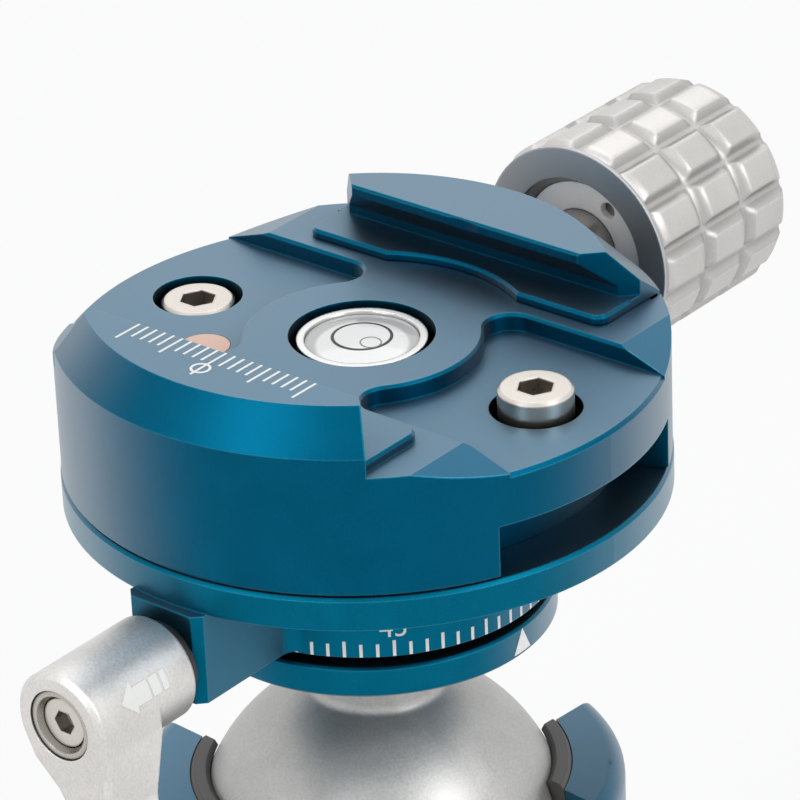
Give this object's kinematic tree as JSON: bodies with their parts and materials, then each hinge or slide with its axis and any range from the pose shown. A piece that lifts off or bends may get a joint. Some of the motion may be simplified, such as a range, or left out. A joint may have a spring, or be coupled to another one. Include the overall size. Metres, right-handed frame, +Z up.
{
  "type": "tripod ball head",
  "caption": "Ball head for a tripod: notched cup, locking ball, panning dovetail clamp with knob, brake lever, degree scale and round bubble level.",
  "frame": {"origin": "mouth of the tripod thread, on the underside of the base, at the centre", "axes": "+Z up through base, ball and clamp; +X along the dovetail channel; +Y towards the clamp knob; the brake lever is on the -Y side"},
  "size_m": [0.0626, 0.0987, 0.1009],
  "materials": {
    "teal_anodised": "deep teal anodised aluminium, fine satin",
    "dark_anodised": "dark grey anodised, satin",
    "satin_silver": "bead-blasted silver anodised",
    "ball_silver": "satin turned",
    "machined_steel": "turned",
    "screw_steel": "nickel plated",
    "spring_steel": "drawn wire",
    "black_nylon": "satin nylon",
    "rubber": "matte",
    "brass": "turned",
    "copper_pin": "dull copper coloured",
    "polished_rim": "bright",
    "level_fluid": "pale clear fluid",
    "clear_window": "clear acrylic"
  },
  "bodies": {
    "base": {"base_plate": "teal_anodised", "thread_insert": "machined_steel", "base_pad": "rubber", "slip_ring": "black_nylon", "spigot_washer": "machined_steel", "spigot_screws": "screw_steel"},
    "housing": {"housing": "teal_anodised", "upper_liner": "black_nylon", "thrust_plate": "machined_steel", "lock_bushing": "machined_steel"},
    "base_lock_shoe": {"base_lock_shoe": "brass"},
    "base_lock_knob": {"base_lock_knob": "satin_silver", "base_lock_screw": "screw_steel"},
    "lock_wedge": {"lock_wedge": "machined_steel"},
    "lock_knob": {"lock_knob": "satin_silver", "lock_screw": "screw_steel"},
    "friction_dial": {"friction_dial": "dark_anodised"},
    "ball_seat": {"seat_ring": "black_nylon"},
    "ball": {"ball": "ball_silver", "index_ring": "teal_anodised", "pan_spindle": "machined_steel", "pan_thrust_washer": "black_nylon", "spindle_washer": "machined_steel", "spindle_screw": "screw_steel"},
    "clamp": {"pan_base": "teal_anodised", "lever_washer": "dark_anodised", "clamp_body": "teal_anodised", "seated_screw": "screw_steel", "stop_pin": "copper_pin", "level_cup": "polished_rim", "level_fluid": "level_fluid", "level_window": "clear_window"},
    "brake_pad": {"brake_pad": "brass"},
    "lever_stud": {"lever_stud": "machined_steel", "lever_screw": "screw_steel", "lever_sleeve": "satin_silver", "lever_spring": "spring_steel"},
    "lever": {"lever": "satin_silver"},
    "moving_jaw": {"moving_jaw": "teal_anodised", "guide_pins": "machined_steel", "thrust_washer": "machined_steel"},
    "clamp_knob": {"clamp_knob": "satin_silver", "clamp_screw": "screw_steel", "knob_face_ring": "dark_anodised", "knob_inner_disc": "machined_steel"},
    "raised_screw": {"raised_screw": "screw_steel"}
  },
  "joints": [
    {"name": "base_pan", "type": "hinge", "parent": "base", "child": "housing", "pos_m": [0, 0, 0.0083], "axis": [0, 0, 1], "continuous": true},
    {"name": "base_lock_travel", "type": "slide", "parent": "housing", "child": "base_lock_shoe", "axis": [1, 0, 0], "range_m": [0, 0.0006]},
    {"name": "base_lock_turn", "type": "hinge", "parent": "base_lock_shoe", "child": "base_lock_knob", "pos_m": [0.0228, 0, 0.0115], "axis": [1, 0, 0], "range_deg": [0, 270]},
    {"name": "lock_turn", "type": "hinge", "parent": "housing", "child": "lock_knob", "pos_m": [0, -0.0228, 0.0202], "axis": [0, -1, 0], "range_deg": [0, 270]},
    {"name": "wedge_travel", "type": "slide", "parent": "housing", "child": "lock_wedge", "axis": [0, 1, 0], "range_m": [0, 0.000938]},
    {"name": "friction_turn", "type": "hinge", "parent": "lock_knob", "child": "friction_dial", "pos_m": [0, -0.0368, 0.0202], "axis": [0, -1, 0], "range_deg": [0, 180]},
    {"name": "ball_swivel", "type": "hinge", "parent": "housing", "child": "ball_seat", "pos_m": [0, 0, 0.04199], "axis": [0, 0, 1], "continuous": true},
    {"name": "ball_tilt", "type": "hinge", "parent": "ball_seat", "child": "ball", "pos_m": [0, 0, 0.04199], "axis": [0.0785, 0.9969, 0], "range_deg": [-40, 90]},
    {"name": "clamp_pan", "type": "hinge", "parent": "ball", "child": "clamp", "pos_m": [0, 0, 0.06979], "axis": [0, 0, 1], "continuous": true},
    {"name": "brake_travel", "type": "slide", "parent": "clamp", "child": "brake_pad", "axis": [0, -1, 0], "range_m": [0, 0.0001667]},
    {"name": "lever_turn", "type": "hinge", "parent": "brake_pad", "child": "lever_stud", "pos_m": [0, -0.0286, 0.07449], "axis": [0, -1, 0], "range_deg": [0, 75]},
    {"name": "lever_pull", "type": "slide", "parent": "lever_stud", "child": "lever", "axis": [0, -1, 0], "range_m": [0, 0.003], "stiffness_N_per_m": 400, "deforming": ["lever_spring"]},
    {"name": "jaw_travel", "type": "slide", "parent": "clamp", "child": "moving_jaw", "axis": [0, 1, 0], "range_m": [-0.001, 0.0055]},
    {"name": "clamp_knob_turn", "type": "hinge", "parent": "moving_jaw", "child": "clamp_knob", "pos_m": [0, 0.0316, 0.09019], "axis": [0, 1, 0], "range_deg": [-360, 1980]},
    {"name": "raised_screw_travel", "type": "slide", "parent": "clamp", "child": "raised_screw", "axis": [0, 0, 1], "range_m": [-0.0023, 0]}
  ],
  "couplings": [
    {"joint": "base_lock_turn", "follows": "base_lock_travel", "rad_per_m": 7854},
    {"joint": "lock_turn", "follows": "wedge_travel", "rad_per_m": 5026.5},
    {"joint": "lever_turn", "follows": "brake_travel", "rad_per_m": 7854},
    {"joint": "clamp_knob_turn", "follows": "jaw_travel", "rad_per_m": 6283.2}
  ]
}
